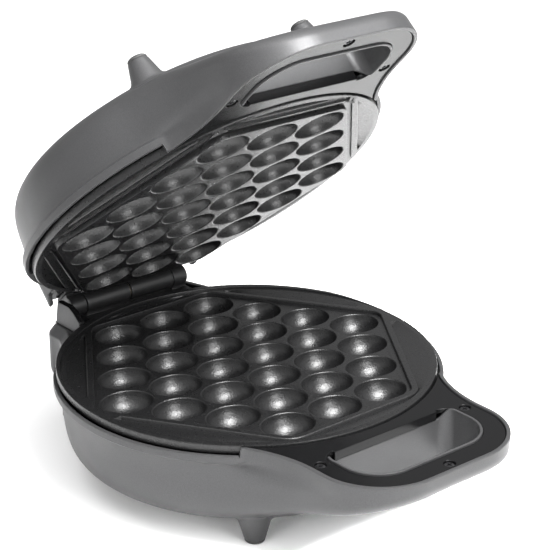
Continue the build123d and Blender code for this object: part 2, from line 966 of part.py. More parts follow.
def make_fuse():
    """Thermal fuse in its sleeve, lying against the back of the base plate."""
    with BuildPart() as fuse:
        with BuildSketch(base.side(fuse_x, plate_centre_y, plate_back + fuse_radius)):
            RegularPolygon(fuse_radius, screw_sides, major_radius=False, rotation=180 / screw_sides)
        extrude(amount=fuse_length)
    finish(fuse, "thermal_fuse")
    return fuse.part


def make_terminal_block():
    """Terminal block on the floor of the base, with a way for each wire."""
    floor = shell_depth - wall
    with BuildPart() as block:
        with BuildSketch(base.level(floor - block_height, 0, block_y)):
            Rectangle(block_length, block_width)
        extrude(amount=block_height)
        with BuildSketch(base.level(floor - block_height, 0, block_y)):
            with GridLocations(block_length / block_ways, 0, block_ways, 1):
                Rectangle(block_slot, block_slot)
        extrude(amount=block_height / 2, mode=Mode.SUBTRACT)
    finish(block, "terminal_block")
    return block.part


def gland_plane():
    """Plane on the rear face of the base's rear block, facing rearwards."""
    origin = base.web.from_local_coords(Vector(0, base_rear_y, gland_depth))
    return Plane(origin=origin, x_dir=base.web.x_dir, z_dir=base.web.y_dir)


def make_gland():
    """Flanged bush that the mains lead would pass through at the back."""
    with BuildPart() as gland:
        with BuildSketch(gland_plane()):
            Circle(gland_flange_radius)
        extrude(amount=gland_flange)
        with BuildSketch(gland_plane()):
            Circle(gland_radius)
        extrude(amount=-wall - gland_inside)
        with BuildSketch(gland_plane().offset(gland_flange)):
            Circle(gland_bore)
        extrude(amount=-gland_flange - wall - gland_inside, mode=Mode.SUBTRACT)
    finish(gland, "cord_gland")
    return gland.part


def lens_places():
    """The two lamp lenses, side by side on the lid."""
    return [(-lens_spacing / 2, lens_y), (lens_spacing / 2, lens_y)]


def make_lenses():
    """Lamp lenses of the lid, each with a thin flange outside the shell."""
    with BuildPart() as lenses:
        with BuildSketch(lid.level(shell_depth)):
            with Locations(*lens_places()):
                Circle(lens_flange_radius)
        extrude(amount=lens_flange)
        with BuildSketch(lid.level(shell_depth)):
            with Locations(*lens_places()):
                Circle(lens_radius)
        extrude(amount=-2 * wall)
    finish(lenses, "lamp_lenses")
    return lenses.part


os.makedirs("parts", exist_ok=True)

base_rear = base_block()
base_rear_space = base_block(wall)
lid_rear = rear_block(lid, hood_profile(), hood_rear_y)
lid_rear_space = rear_block(lid, hood_profile(), hood_rear_y, wall)

with BuildPart() as gland_hole:
    with BuildSketch(gland_plane().offset(overcut)):
        Circle(gland_radius + panel_fit)
    extrude(amount=-gland_flange - wall - overcut)

with BuildPart() as lens_holes:
    with BuildSketch(lid.level(shell_depth + overcut)):
        with Locations(*lens_places()):
            Circle(lens_radius + panel_fit)
    extrude(amount=-wall - 2 * overcut)

make_shell(base, base_rear, base_rear_space, cheeks(), gland_hole.part)
make_shell(lid, lid_rear, lid_rear_space, fins(), lens_holes.part)
for half in (base, lid):
    make_plate(half)
    make_cover(half)
    make_screws(half, "handle_screws", cover_screws, half.cover + screw_sink, 1, screw_length)
    make_pads(half)
    leg_head_depth = leg_seat_depth + screw_head_height
    make_screws(half, "leg_screws", leg_places, leg_head_depth, -1, leg_screw_length)
    make_bracket(half)
    bracket_head_depth = half.seat - bracket_plate - screw_head_height
    make_screws(half, "hinge_screws", bracket_screws, bracket_head_depth, 1, screw_length)
    make_heater(half)
    make_pan(half)
    pan_head_depth = pan_depth + pan_sheet + screw_head_height
    make_screws(half, "pan_screws", pan_screw_places(), pan_head_depth, -1, screw_length)
make_pin(base, "right_hinge_pin")
make_pin(lid, "left_hinge_pin")
make_lead()
make_thermostat()
make_fuse()
make_terminal_block()
make_gland()
make_lenses()
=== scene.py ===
from math import atan2, cos, degrees, hypot, pi, radians, sin, tan

import bmesh
import bpy
import numpy as np
from mathutils import Matrix, Vector
from mathutils.bvhtree import BVHTree
from mathutils.geometry import delaunay_2d_cdt


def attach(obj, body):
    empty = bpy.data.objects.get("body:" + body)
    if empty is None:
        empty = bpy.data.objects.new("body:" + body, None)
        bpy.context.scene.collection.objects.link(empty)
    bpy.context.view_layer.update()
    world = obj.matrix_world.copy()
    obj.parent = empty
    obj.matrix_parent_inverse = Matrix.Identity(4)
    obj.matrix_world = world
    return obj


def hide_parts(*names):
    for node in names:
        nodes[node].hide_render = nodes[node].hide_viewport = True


# Looks of the bubble waffle maker, standing open as in the photograph.
# Shapes are worked out in millimetres in each half's own frame, the one that the part's source
# uses: x and y from the middle of the cup pattern, and depth from the cup web into the shell.

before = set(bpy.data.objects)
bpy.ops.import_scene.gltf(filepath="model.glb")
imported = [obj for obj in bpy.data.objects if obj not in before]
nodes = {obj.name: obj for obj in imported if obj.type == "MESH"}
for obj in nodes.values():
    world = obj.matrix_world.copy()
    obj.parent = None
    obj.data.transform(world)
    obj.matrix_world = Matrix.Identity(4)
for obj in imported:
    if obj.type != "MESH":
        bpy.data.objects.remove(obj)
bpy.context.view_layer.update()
mm = 0.001

# Where the two halves stand, as in the source
web_height = 58.5
web_gap = 3.1
plate_shift_y = 17.6
hinge_y = 111.0
hinge_lift = 5.9
open_angle = 43.67

# Cup pattern
cup_pitch = 31.0
row_pitch = 24.2
row_counts = (3, 4, 5, 6, 5, 4, 3)
cup_length = 28.6
cup_width = 24.6
cup_depth = 10.5
cup_lip = 0.75
cup_lip_steps = 4
cup_around = 48
cup_shares = (0.965, 0.91, 0.83, 0.72, 0.58, 0.42, 0.26, 0.12)
cup_bend = 2.3
cup_fullness = 0.62

# Six-sided field around the cups, and the pockets beside it
field_corner_x = 97.0
field_side_x = 40.4
field_side_y = 87.0
field_corner_radius = 9.0
field_rib = 3.6
field_open_half = 9.0
pocket_drop = 1.6
pocket_end_half = 15.0
pocket_least_width = 0.25
lid_trench = 3.6
lid_rib = 2.2
lid_rib_height = 1.2
lid_rib_soft = 0.35

# Cast plate
plate_radius = 100.5
plate_centre_y = -2.5
plate_edge = 4.3
plate_bevel = 0.8
plate_border = 3.2
plate_body_radius = 94.0
plate_back = 12.5
base_rim_level = -1.9
lid_rim_level = 2.8
leg_places = [(sx * 52.0, y) for sx in (-1, 1) for y in (-71.5, 66.5)]
post_radius = 4.0
post_depth = 30.0
plate_sharp = 40

# Raised guard beside the hinge: its angles are from the plate's left or right
guard_shift = 3.5
guard_top = -3.0
guard_floor = 1.2
guard_half = 46.3
guard_hinge_floor = -1.0
guard_start = 1.0
guard_rise = (2, 28)
guard_soft = 0.45

# Shell: insets from its outline and depths under its top edge, then its wall's flats
lip_radius = 104.0
shell_depth = 46.7
shell_wall = 2.2
shell_sharp = 32
top_row = 0.9
band_profile = ((0.0, 0.0), (0.0, top_row), (0.0, 3.6), (0.12, 4.0), (0.55, 4.4), (1.2, 4.7))
band_foot = (1.8, 5.2)
wall_flats = (
    (3.9, 17.0),
    (4.8, 28.0),
    (6.3, 35.0),
    (8.9, 40.0),
    (12.6, 43.5),
    (17.0, 45.8),
    (22.0, shell_depth),
)
floor_blend = 3.0

# Handle loop, its finger slot and its cover
handle_front_y = -162.6
handle_half_width = 55.5
handle_corner = 36.0
handle_straight_y = -122.0
handle_waist = (61.2, -92.5)
handle_root = (71.5, -75.0)
handle_front_depth = 8.5
handle_slope = 0.356
handle_draft = 0.07
handle_round = 6.0
handle_root_round = 8.0
handle_floor_inset = 11.0
slot_half_width = 40.6
slot_rear_y = -111.4
slot_front_y = -146.4
slot_front_corner = 19.5
slot_rear_corner = 6.6
slot_drop = 5.9
slot_drop_turn = (25, 88)
slot_round = 0.8
slot_wall_share = 0.68
cover_sink = 0.9

# Where the scene's own skin of the shell meets the CAD shell, and where its top edge steps up to
# the handle, in degrees from the plate's left or right
seam_angle = 31.0
step_angle = 49.0
blend_least = 0.2
blend_spread = 7.0
blend_range = 14.0
blend_first_row = 4
blend_full_row = 12
flank_rows = 16
round_rows = 10

# Legs: depth and radius of root and tip, and growth and lift of the fillet at the root
leg_root = (36.0, 11.2)
leg_tip = (56.5, 5.6)
leg_fillet = ((1.9, 0.0), (0.95, 0.28), (0.35, 0.9), (0.08, 1.7), (0.0, 2.8))
leg_around = 48
ray_depth = 90.0

# Hollow around the hinge, where shade is painted in with the covers' black
hollow_front_y = 84
hollow_half = 46.6
lid_hollow_depth = 12.5
base_hollow_depth = 3.0

# Screws in the covers: radius and depth of their outline, and the cross recess
cover_screws = ((-48.0, -117.0), (48.0, -117.0), (0.0, -155.0))
screw_sink = 0.75
screw_around = 32
screw_face = 2.2
screw_profile = ((screw_face, 0.0), (2.5, 0.12), (2.68, 0.4), (2.7, 1.5), (1.6, 1.5), (1.6, 7.5))
screw_sharp = 35
cross_half = 0.42
cross_reach = 1.65
cross_depth = 1.1
cross_taper = 0.72

# Distances within which points are joined, in metres
own_joining = 0.00001
cad_joining = 0.000002


class Half:
    """One half's frame, and the depths that differ between the two."""

    def __init__(self, name, origin, x, y, z, rim, raised):
        self.name = name
        self.origin = np.array(origin, float)
        self.axes = np.array((x, y, z), float)
        self.rim = rim
        self.raised = raised
        self.lip = rim + plate_edge

    def place(self, points):
        """Points of this half's frame, in millimetres, to the row frame, in metres."""
        return (self.origin + np.asarray(points, float) @ self.axes) * mm


def make_base():
    origin = (0, plate_shift_y, web_height)
    return Half("base", origin, (-1, 0, 0), (0, 1, 0), (0, 0, -1), base_rim_level, False)


def make_lid():
    swing = radians(open_angle)
    rise = web_gap - hinge_lift
    y = plate_shift_y + hinge_y - hinge_y * cos(swing) + rise * sin(swing)
    z = web_height + hinge_lift + hinge_y * sin(swing) + rise * cos(swing)
    back = (0, cos(swing), -sin(swing))
    up = (0, sin(swing), cos(swing))
    return Half("lid", (0, y, z), (1, 0, 0), back, up, lid_rim_level, True)


base = make_base()
lid = make_lid()


# Materials

def new_material(name, colour, rough, metallic=0.0, **sockets):
    material = bpy.data.materials.new(name)
    material.use_nodes = True
    shader = material.node_tree.nodes["Principled BSDF"]
    shader.inputs["Base Color"].default_value = (*colour, 1)
    shader.inputs["Roughness"].default_value = rough
    shader.inputs["Metallic"].default_value = metallic
    for socket, value in sockets.items():
        shader.inputs[socket.replace("_", " ")].default_value = value
    return material


def noise(material, scale, detail=2.0):
    """Noise over the piece's own coordinates, so that it moves with the piece."""
    tree = material.node_tree
    coordinates = tree.nodes.new("ShaderNodeTexCoord")
    texture = tree.nodes.new("ShaderNodeTexNoise")
    texture.inputs["Scale"].default_value = scale
    texture.inputs["Detail"].default_value = detail
    tree.links.new(coordinates.outputs["Object"], texture.inputs["Vector"])
    return texture


def feed_shader(material, output, socket):
    shader = material.node_tree.nodes["Principled BSDF"]
    material.node_tree.links.new(output, shader.inputs[socket])


def vary_colour(material, texture, dark, light):
    """Lets the middle range of a noise run from a dark tone to a light one."""
    tree = material.node_tree
    ramp = tree.nodes.new("ShaderNodeValToRGB")
    for element, position, tone in zip(ramp.color_ramp.elements, (0.35, 0.65), (dark, light)):
        element.position = position
        element.color = (*tone, 1)
    tree.links.new(texture.outputs["Fac"], ramp.inputs["Fac"])
    feed_shader(material, ramp.outputs["Color"], "Base Color")


def map_range(tree, *limits):
    """A node that takes one range of values to another."""
    spread = tree.nodes.new("ShaderNodeMapRange")
    for socket, value in zip(("From Min", "From Max", "To Min", "To Max"), limits):
        spread.inputs[socket].default_value = value
    return spread


def vary_rough(material, texture, low, high):
    tree = material.node_tree
    spread = map_range(tree, 0.3, 0.7, low, high)
    tree.links.new(texture.outputs["Fac"], spread.inputs["Value"])
    feed_shader(material, spread.outputs["Result"], "Roughness")


def add_bump(material, texture, strength, distance=0.0001):
    tree = material.node_tree
    bump = tree.nodes.new("ShaderNodeBump")
    bump.inputs["Strength"].default_value = strength
    bump.inputs["Distance"].default_value = distance
    tree.links.new(texture.outputs["Fac"], bump.inputs["Height"])
    feed_shader(material, bump.outputs["Normal"], "Normal")


def satin_paint():
    """Grey metallic paint: fine flakes, and a faint unevenness in gloss."""
    grey = (0.037, 0.037, 0.038)
    dark_flakes = (0.03, 0.03, 0.031)
    light_flakes = (0.044, 0.044, 0.045)
    material = new_material("satin_grey_paint", grey, rough=0.46, metallic=0.35, Specular_IOR_Level=0.3)
    vary_colour(material, noise(material, scale=2600), dark_flakes, light_flakes)
    vary_rough(material, noise(material, scale=40), low=0.42, high=0.5)
    add_bump(material, noise(material, scale=1500), strength=0.12)
    return material


def non_stick():
    """Black non-stick coating with a fine grain that sparkles in the light."""
    black = (0.005, 0.005, 0.0052)
    dark_grain = (0.003, 0.003, 0.003)
    light_grain = (0.009, 0.009, 0.0094)
    material = new_material("non_stick_coating", black, rough=0.3, Specular_IOR_Level=0.4)
    vary_colour(material, noise(material, scale=3200), dark_grain, light_grain)
    vary_rough(material, noise(material, scale=900), low=0.26, high=0.36)
    add_bump(material, noise(material, scale=1100, detail=3.0), strength=0.6, distance=0.00022)
    return material


def black_plastic():
    """Glossy black plastic of the handle covers, with a faint unevenness."""
    black = (0.004, 0.004, 0.0042)
    material = new_material("black_plastic", black, rough=0.2, Specular_IOR_Level=0.12)
    vary_rough(material, noise(material, scale=60), low=0.18, high=0.24)
    add_bump(material, noise(material, scale=2200), strength=0.08)
    return material


def plain_finish(name, colour, rough, metallic, grain, strength):
    """A finish with a slight unevenness of colour and gloss, and a fine grain."""
    material = new_material(name, colour, rough, metallic)
    dark = tuple(0.85 * c for c in colour)
    light = tuple(1.15 * c for c in colour)
    vary_colour(material, noise(material, grain / 8), dark, light)
    vary_rough(material, noise(material, grain / 4), 0.9 * rough, 1.1 * rough)
    add_bump(material, noise(material, grain), strength)
    return material


paint = satin_paint()
coating = non_stick()
plastic = black_plastic()

# For each plain finish: colour, roughness, metallic, scale of the grain and its strength
dark_steel = plain_finish("dark_steel", (0.09, 0.09, 0.095), 0.36, 1.0, 2000, 0.1)
bright_steel = plain_finish("bright_steel", (0.55, 0.55, 0.56), 0.3, 1.0, 2000, 0.1)
bracket_paint = plain_finish("bracket_paint", (0.01, 0.01, 0.0104), 0.42, 0.1, 1800, 0.15)
rubber = plain_finish("black_rubber", (0.018, 0.018, 0.018), 0.72, 0.0, 1200, 0.3)

finishes = {
    "shell": paint,
    "plate": coating,
    "handle_cover": plastic,
    "handle_screws": dark_steel,
    "rubber_feet": rubber,
    "leg_screws": bright_steel,
    "hinge_bracket": bracket_paint,
    "hinge_screws": dark_steel,
    "pan_screws": bright_steel,
    "heating_element": plain_finish("heater_steel", (0.2, 0.19, 0.18), 0.45, 1.0, 1500, 0.15),
    "heat_pan": plain_finish("pan_steel", (0.5, 0.5, 0.5), 0.35, 1.0, 900, 0.1),
    "right_hinge_pin": bright_steel,
    "left_hinge_pin": bright_steel,
    "hinge_lead": plain_finish("glass_sleeve", (0.5, 0.46, 0.38), 0.8, 0.0, 2500, 0.4),
    "thermostat": plain_finish("control_body", (0.3, 0.22, 0.14), 0.5, 0.0, 1500, 0.2),
    "thermal_fuse": plain_finish("fuse_sleeve", (0.75, 0.74, 0.7), 0.6, 0.0, 2000, 0.2),
    "terminal_block": plain_finish("terminal_plastic", (0.7, 0.7, 0.66), 0.5, 0.0, 1200, 0.1),
    "cord_gland": rubber,
    "lamp_lenses": plain_finish("red_lens", (0.35, 0.01, 0.01), 0.15, 0.0, 800, 0.05),
}


def finish_node(name, node):
    """Gives a CAD node its material, by its name with or without the half's name before it."""
    key = name if name in finishes else name.split("_", 1)[1]
    node.data.materials.clear()
    node.data.materials.append(finishes[key])


for node_name, node in nodes.items():
    finish_node(node_name, node)


# Meshes

def add_object(name, data):
    """A new object in the scene."""
    item = bpy.data.objects.new(name, data)
    bpy.context.scene.collection.objects.link(item)
    return item


def even_normals(piece, keep_sharp):
    weighted = piece.modifiers.new("even_normals", "WEIGHTED_NORMAL")
    weighted.keep_sharp = keep_sharp


def join_points(shape, distance):
    bmesh.ops.remove_doubles(shape, verts=shape.verts, dist=distance)


def join_flats(shape):
    """Joins the faces of a CAD part that lie in one plane."""
    bmesh.ops.dissolve_limit(
        shape, angle_limit=radians(0.4), verts=shape.verts, edges=shape.edges, use_dissolve_boundaries=False
    )


def smooth_mesh(name, shape, sharp, *materials):
    """Mesh with edges sharp past an angle, from a bmesh, which is freed."""
    for face in shape.faces:
        face.smooth = True
        face.material_index = 0
    mesh = bpy.data.meshes.new(name)
    shape.to_mesh(mesh)
    shape.free()
    mesh.set_sharp_from_angle(angle=radians(sharp))
    for material in materials:
        mesh.materials.append(material)
    return mesh


def make_piece(name, half, points, faces, material, replaced, sharp):
    """A piece from points in a half's frame, with its faces turned outwards. It rides on that half."""
    raw = bpy.data.meshes.new(name)
    raw.from_pydata(half.place(points).tolist(), [], faces)
    raw.validate()
    shape = bmesh.new()
    shape.from_mesh(raw)
    bpy.data.meshes.remove(raw)
    join_points(shape, own_joining)
    bmesh.ops.recalc_face_normals(shape, faces=shape.faces)
    piece = add_object(name, smooth_mesh(name, shape, sharp, material))
    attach(piece, half.name)
    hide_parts(*replaced)
    return piece


def add_grid(points, faces, rings, close_first=False, close_last=False, flip=False):
    """Skin between rings of equal length, added to a list of points and faces."""
    first = len(points)
    count = len(rings[0])
    for ring in rings:
        points += list(ring)
    for row in range(len(rings) - 1):
        for n in range(count):
            m = (n + 1) % count
            a, b = first + row * count + n, first + row * count + m
            c, d = first + (row + 1) * count + m, first + (row + 1) * count + n
            faces.append((a, d, c, b) if flip else (a, b, c, d))
    if close_first:
        face = tuple(first + n for n in range(count))
        faces.append(face if flip else face[::-1])
    if close_last:
        last = first + (len(rings) - 1) * count
        face = tuple(last + n for n in range(count))
        faces.append(face[::-1] if flip else face)


def loop_edges(first, count):
    """Edges of a closed outline, from the number of its first point."""
    return [(first + n, first + (n + 1) % count) for n in range(count)]


def triangulate(points, edges):
    """Points and triangles inside outlines, and the points that each came from."""
    found, _, triangles, sources, _, _ = delaunay_2d_cdt(points, edges, [], 1, 1e-5)
    return found, triangles, sources


# Outlines

def ease(value, start, end):
    share = min(1.0, max(0.0, (value - start) / (end - start)))
    return share * share * (3 - 2 * share)


def rounded_polygon(corners, radii, step=6.0):
    """Outline of a convex polygon with rounded corners, in turn, one arc for each corner."""
    outline = []
    places = [Vector(corner) for corner in corners]
    for number, (corner, radius) in enumerate(zip(places, radii)):
        before = (places[number - 1] - corner).normalized()
        after = (places[(number + 1) % len(places)] - corner).normalized()
        half_angle = before.angle(after) / 2
        centre = corner + (before + after).normalized() * (radius / sin(half_angle))
        first = corner + before * (radius / tan(half_angle)) - centre
        last = corner + after * (radius / tan(half_angle)) - centre
        turn = first.angle_signed(last)
        pieces = max(2, int(abs(degrees(turn)) / step))
        for piece in range(pieces + 1):
            spin = Matrix.Rotation(-turn * piece / pieces, 2)
            outline.append(tuple(centre + spin @ first))
    return outline


def polar(reach, angle):
    """The point at a distance from the plate's centre, along an angle."""
    return reach * cos(angle), plate_centre_y + reach * sin(angle)


def at_depth(outline, depth):
    return [(x, y, depth) for x, y in outline]


def circle(radius, count=180, x=0.0, y=plate_centre_y):
    turns = [2 * pi * n / count for n in range(count)]
    return [(x + radius * cos(turn), y + radius * sin(turn)) for turn in turns]


def arc(first, middle, last, count):
    """Points on the circle through three points."""
    (ax, ay), (bx, by), (cx, cy) = first, middle, last
    twice = 2 * (ax * (by - cy) + bx * (cy - ay) + cx * (ay - by))
    sa, sb, sc = ax * ax + ay * ay, bx * bx + by * by, cx * cx + cy * cy
    x = (sa * (by - cy) + sb * (cy - ay) + sc * (ay - by)) / twice
    y = (sa * (cx - bx) + sb * (ax - cx) + sc * (bx - ax)) / twice
    radius = hypot(ax - x, ay - y)
    start = atan2(ay - y, ax - x)
    turn = atan2(cy - y, cx - x) - start
    turn = (turn + pi) % (2 * pi) - pi
    turns = [start + turn * n / count for n in range(count + 1)]
    return [(x + radius * cos(angle), y + radius * sin(angle)) for angle in turns]


def sides(outline):
    return zip(outline, outline[1:] + outline[:1])


def inside(outline, x, y):
    """Whether a point is inside an outline."""
    found = False
    for (ax, ay), (bx, by) in sides(outline):
        if (ay > y) != (by > y) and x < ax + (bx - ax) * (y - ay) / (by - ay):
            found = not found
    return found


def ray_reach(outline, angle):
    """Distance from the plate's centre to an outline, along an angle."""
    dx, dy = cos(angle), sin(angle)
    for (ax, ay), (bx, by) in sides(outline):
        ay -= plate_centre_y
        by -= plate_centre_y
        side_a = dx * ay - dy * ax
        side_b = dx * by - dy * bx
        if (side_a <= 0) == (side_b <= 0):
            continue
        share = side_a / (side_a - side_b)
        reach = (ax + (bx - ax) * share) * dx + (ay + (by - ay) * share) * dy
        if reach > 0:
            return reach
    return 0.0


def edge_x(outline, y):
    """Largest x of an outline at a height."""
    best = 0.0
    for (ax, ay), (bx, by) in sides(outline):
        if (ay <= y) != (by <= y):
            best = max(best, ax + (bx - ax) * (y - ay) / (by - ay))
    return best


def keep_within(outline, radius):
    """Outline with the points beyond a circle around the plate's centre drawn in to it."""
    kept = []
    for x, y in outline:
        share = min(1.0, radius / hypot(x, y - plate_centre_y))
        kept.append((x * share, plate_centre_y + (y - plate_centre_y) * share))
    return kept


def field_outline(grow):
    """Six-sided field, grown outwards. Its arcs keep their centres, so grown outlines are parallel."""
    run = field_corner_x - field_side_x
    slant = hypot(run, field_side_y)
    x = field_corner_x + grow / (field_side_y / slant)
    y = field_side_y + grow
    side_x = x - y * run / field_side_y
    corners = ((x, 0), (side_x, y), (-side_x, y), (-x, 0), (-side_x, -y), (side_x, -y))
    return rounded_polygon(corners, [field_corner_radius + grow] * 6)


def crescents(grow, inset, end):
    """Outlines of the pockets between the grown field and the border, away from the side corners."""
    outline = field_outline(grow)
    outer = plate_radius - plate_border - inset
    steps = 720
    fewest = 8
    keep_every = 4
    found, run = [], []
    for number in range(steps + steps // 4):
        angle = 2 * pi * number / steps - pi / 2 + 0.0001
        reach = ray_reach(outline, angle)
        y = plate_centre_y + outer * sin(angle)
        if outer - reach > pocket_least_width and abs(y) > end + inset:
            run.append((angle, reach))
        elif run:
            found.append(run)
            run = []
    shapes, seen = [], set()
    for run in found:
        middle = round(degrees(run[len(run) // 2][0])) % 360
        if len(run) < fewest or seen & {(middle + n) % 360 for n in (-1, 0, 1)}:
            continue
        seen.add(middle)
        run = run[::keep_every] + ([run[-1]] if (len(run) - 1) % keep_every else [])
        inner_side = [polar(reach, angle) for angle, reach in run]
        outer_side = [polar(outer, angle) for angle, _ in reversed(run)]
        shapes.append(inner_side + outer_side)
    return shapes


def broken_ring(start, width, opening):
    """Outlines of the rib around the field, open at its left and right corners."""
    border = plate_radius - plate_border
    inner = keep_within(field_outline(start), border - 0.9)
    outer = keep_within(field_outline(start + width), border)
    shapes = []
    for side in (1, -1):
        runs = []
        for outline in (inner, outer):
            end_x, end_y = edge_x(outline, side * opening), side * opening
            run = [p for p in outline if side * p[1] > opening]
            run.sort(key=lambda p: -atan2(side * p[1], p[0]))
            runs.append([(-end_x, end_y)] + run + [(end_x, end_y)])
        shapes.append(runs[0] + runs[1][::-1])
    return shapes


# Cast plates

def cup_places():
    places = []
    middle = (len(row_counts) - 1) / 2
    for row, count in enumerate(row_counts):
        for cup in range(count):
            places.append(((cup - (count - 1) / 2) * cup_pitch, (row - middle) * row_pitch))
    return places


def cup_rings():
    """Growth of the oval, share of its size, and depth, from the cup's lip down to its middle."""
    rings = []
    for number in range(cup_lip_steps + 1):
        angle = radians(90 * number / cup_lip_steps)
        rings.append((cup_lip * (1 - sin(angle)), 1.0, cup_lip * (1 - cos(angle))))
    deepest = cup_depth - cup_lip
    for share in cup_shares:
        rings.append((0.0, share, cup_lip + deepest * (1 - share**cup_bend) ** cup_fullness))
    return rings


def oval(cx, cy, grow, share=1.0):
    a = cup_length / 2 * share + grow
    b = cup_width / 2 * share + grow
    turns = [2 * pi * n / cup_around for n in range(cup_around)]
    return [(cx + a * cos(turn), cy + b * sin(turn)) for turn in turns]


def field_loops(half):
    """The field's edge: a raised island on the lid, a sunk field on the base."""
    rim = half.rim
    if half.raised:
        edge = ((-0.35, 0.0), (-0.1, 0.1), (0.0, 0.35), (0.15, rim))
    else:
        edge = ((0.0, 0.0), (0.06, rim + 0.5), (0.2, rim + 0.15), (0.45, rim), (0.8, rim))
    return [(field_outline(grow), depth) for grow, depth in edge]


def rib_loops(half):
    """The foot and the top of the low rib around the lid's field."""
    top = half.rim - lid_rib_height
    loops = []
    for soft, longer, depth in ((0.0, 0.0, half.rim), (lid_rib_soft, 0.4, top)):
        for shape in broken_ring(lid_trench + soft, lid_rib - 2 * soft, field_open_half + longer):
            loops.append((shape, depth))
    return loops


def pocket_loops(half):
    """The pockets beside the field. They step down along it, and their floors rise to the border."""
    gap = lid_trench + 2 * lid_rib if half.raised else field_rib
    edge = ((-0.8, 0.0), (-0.5, 0.0), (-0.2, 0.2), (-0.02, 0.55), (0.3, pocket_drop))
    loops = []
    for number, (grow, drop) in enumerate(edge):
        for shape in crescents(gap + grow, 0.1 * number, pocket_end_half):
            beside = len(shape) // 2
            depths = [half.rim + drop] * beside + [half.rim] * (len(shape) - beside)
            loops.append((shape, depths))
    return loops


def plate_top(half):
    """Points and triangles of the plate's face, from outlines that each have a depth or depths."""
    loops = field_loops(half)
    if half.raised:
        loops += rib_loops(half)
    loops += pocket_loops(half)
    loops.append((circle(plate_radius - plate_bevel), half.rim))
    loops += [(oval(cx, cy, cup_lip), 0.0) for cx, cy in cup_places()]
    points, edges, depths = [], [], []
    for outline, depth in loops:
        edges += loop_edges(len(points), len(outline))
        points += [Vector(p) for p in outline]
        depths += depth if isinstance(depth, list) else [depth] * len(outline)
    found, triangles, sources = triangulate(points, edges)
    level = [depths[s[0]] if s else half.rim for s in sources]
    flat = np.array([(p[0], p[1], d) for p, d in zip(found, level)])
    centres = np.array(cup_places())
    radii = (cup_length / 2 + cup_lip, cup_width / 2 + cup_lip)
    in_cup = 0.985
    faces = []
    for face in triangles:
        middle = flat[list(face), :2].mean(0)
        if (((middle - centres) / radii) ** 2).sum(1).min() >= in_cup:
            faces.append(face[::-1])
    return [tuple(p) for p in flat], faces


def add_guard(points, faces):
    """Raised rim at the rear: a crescent that widens and rises from both sides towards the hinge."""
    rings = []
    steps = 120
    inner = plate_radius - plate_bevel
    for number in range(steps + 1):
        degree = guard_start + (180 - 2 * guard_start) * number / steps
        angle = radians(degree)
        outer = guard_shift * sin(angle) + (plate_radius**2 - (guard_shift * cos(angle)) ** 2) ** 0.5
        soft = min(guard_soft, (outer - inner) / 3)
        under = guard_floor if abs(outer * cos(angle)) > guard_half else guard_hinge_floor
        rise = ease(90 - abs(90 - degree), *guard_rise)
        top = base_rim_level + (guard_top - base_rim_level) * rise
        section = (
            (inner, under),
            (inner, top + soft),
            (inner + 0.3 * soft, top + 0.3 * soft),
            (inner + soft, top),
            (outer - soft, top),
            (outer - 0.3 * soft, top + 0.3 * soft),
            (outer, top + soft),
            (outer, under),
        )
        rings.append([(*polar(reach, angle), depth) for reach, depth in section])
    add_grid(points, faces, rings, close_first=True, close_last=True)


def add_plate_body(points, faces, half):
    """The plate's rounded edge, its side and back, and the posts behind it."""
    edge = [
        (plate_radius - plate_bevel, half.rim),
        (plate_radius - 0.25, half.rim + 0.2),
        (plate_radius, half.rim + plate_bevel),
        (plate_radius, half.lip),
        (plate_body_radius, half.lip),
        (plate_body_radius, plate_back),
    ]
    rings = [at_depth(circle(radius), depth) for radius, depth in edge]
    add_grid(points, faces, rings, close_last=True, flip=True)
    for x, y in leg_places:
        post = circle(post_radius, 24, x, y)
        rings = [at_depth(post, depth) for depth in (plate_back - 1, post_depth)]
        add_grid(points, faces, rings, close_last=True, flip=True)


def make_plate(half):
    points, faces = plate_top(half)
    for cx, cy in cup_places():
        rings = [at_depth(oval(cx, cy, grow, share), depth) for grow, share, depth in cup_rings()]
        add_grid(points, faces, rings, close_last=True)
    add_plate_body(points, faces, half)
    if not half.raised:
        add_guard(points, faces)
    name, replaced = f"{half.name}_cup_plate", (f"{half.name}_plate",)
    plate = make_piece(name, half, points, faces, coating, replaced, plate_sharp)
    even_normals(plate, keep_sharp=True)


for half in (base, lid):
    make_plate(half)


# Shells

def cut_corners(points):
    """Cuts the corners of an open run of points, twice. Its two ends stay."""
    for _ in range(2):
        run = [points[0]]
        for (ax, ay), (bx, by) in zip(points, points[1:]):
            run.append((ax + (bx - ax) / 4, ay + (by - ay) / 4))
            run.append((bx - (bx - ax) / 4, by - (by - ay) / 4))
        points = run + [points[-1]]
    return points


def larger(a, b, blend):
    """The larger of two values, with a smooth change from one to the other."""
    share = np.maximum(blend - np.abs(a - b), 0) / blend
    return np.maximum(a, b) + share**2 * blend / 4


def smaller(a, b, blend):
    return -larger(-a, -b, blend)


def handle_outline():
    """Plan of the handle loop."""
    side = arc(handle_root, handle_waist, (handle_half_width, handle_straight_y), 24)
    x, y = handle_half_width - handle_corner, handle_front_y + handle_corner
    steps = 30
    for number in range(steps + 1):
        angle = -pi / 2 * number / steps
        side.append((x + handle_corner * cos(angle), y + handle_corner * sin(angle)))
    outline = side + [(-px, py) for px, py in reversed(side)]
    return outline + [(-handle_root[0], 0), (handle_root[0], 0)]


def slot_outline(grow):
    """Plan of the finger slot, grown outwards."""
    x = slot_half_width + grow
    rear, front = slot_rear_y + grow, slot_front_y - grow
    corners = ((x, rear), (-x, rear), (-x, front), (x, front))
    radii = [slot_rear_corner + grow] * 2 + [slot_front_corner + grow] * 2
    return rounded_polygon(corners, radii, step=7.0)


